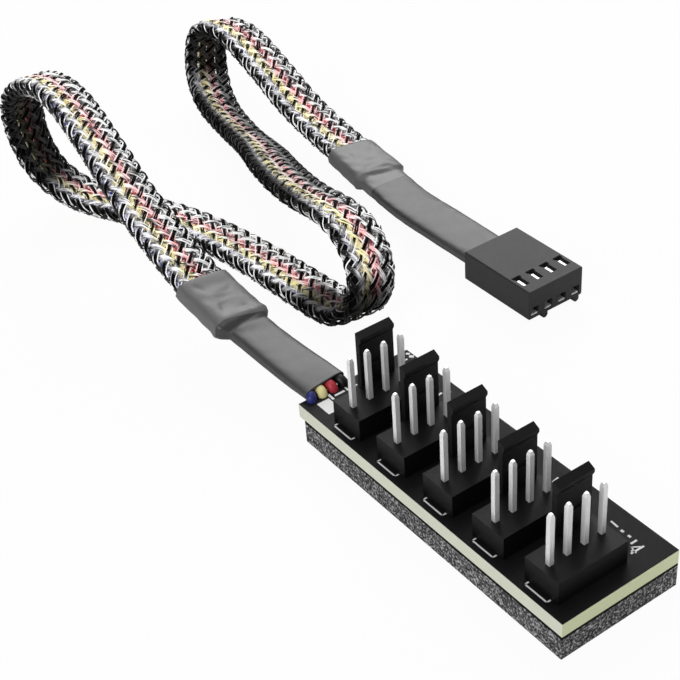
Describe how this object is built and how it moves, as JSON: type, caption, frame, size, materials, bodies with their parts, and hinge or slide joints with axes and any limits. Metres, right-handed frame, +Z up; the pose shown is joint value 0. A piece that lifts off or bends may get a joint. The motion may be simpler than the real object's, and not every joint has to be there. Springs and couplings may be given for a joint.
{
  "type": "pwm fan splitter cable",
  "caption": "Computer fan splitter: a stick-on circuit board with fan pin headers, fed by a flat braided cable that ends in a fan plug.",
  "frame": {"origin": "middle of the board's footprint, at the underside of the foam pad that sticks to the case", "axes": "+X along the board, away from the cable; +Y across the board, from the pins' side to the tabs' side; +Z up out of the pins"},
  "size_m": [0.1393, 0.0516, 0.0255],
  "materials": {
    "board": "black solder mask over a pale glass-fibre core",
    "adhesive": "black adhesive film",
    "foam": "soft grey foam, fine open cells",
    "black_nylon": "moulded black nylon, satin",
    "tinned_pins": "tin-plated, bright",
    "tinned_contacts": "tin-plated sheet, bright",
    "solder": "soft solder, bright",
    "wire_blue": "soft extruded insulation",
    "wire_yellow": "soft extruded insulation",
    "wire_red": "soft extruded insulation",
    "wire_black": "soft extruded insulation",
    "braid": "open braid of multicoloured filament yarns",
    "heat_shrink": "shrunk tube, satin dark grey"
  },
  "bodies": {
    "root": {"circuit_board": "board", "adhesive_layer": "adhesive", "foam_pad": "foam", "header_1_housing": "black_nylon", "header_1_pin_1": "tinned_pins", "header_1_pin_2": "tinned_pins", "header_1_pin_3": "tinned_pins", "header_1_pin_4": "tinned_pins", "header_1_solder": "solder", "header_2_housing": "black_nylon", "header_2_pin_1": "tinned_pins", "header_2_pin_2": "tinned_pins", "header_2_pin_3": "tinned_pins", "header_2_pin_4": "tinned_pins", "header_2_solder": "solder", "header_3_housing": "black_nylon", "header_3_pin_1": "tinned_pins", "header_3_pin_2": "tinned_pins", "header_3_pin_3": "tinned_pins", "header_3_pin_4": "tinned_pins", "header_3_solder": "solder", "header_4_housing": "black_nylon", "header_4_pin_1": "tinned_pins", "header_4_pin_2": "tinned_pins", "header_4_pin_3": "tinned_pins", "header_4_pin_4": "tinned_pins", "header_4_solder": "solder", "header_5_housing": "black_nylon", "header_5_pin_1": "tinned_pins", "header_5_pin_2": "tinned_pins", "header_5_pin_3": "tinned_pins", "header_5_pin_4": "tinned_pins", "header_5_solder": "solder", "cable_solder": "solder", "wire_blue": "wire_blue", "wire_yellow": "wire_yellow", "wire_red": "wire_red", "wire_black": "wire_black", "braided_sleeve": "braid", "heat_shrink_board_end": "heat_shrink", "heat_shrink_plug_end": "heat_shrink", "plug_housing": "black_nylon", "plug_terminal_1": "tinned_contacts", "plug_terminal_2": "tinned_contacts", "plug_terminal_3": "tinned_contacts", "plug_terminal_4": "tinned_contacts"}
  },
  "joints": []
}
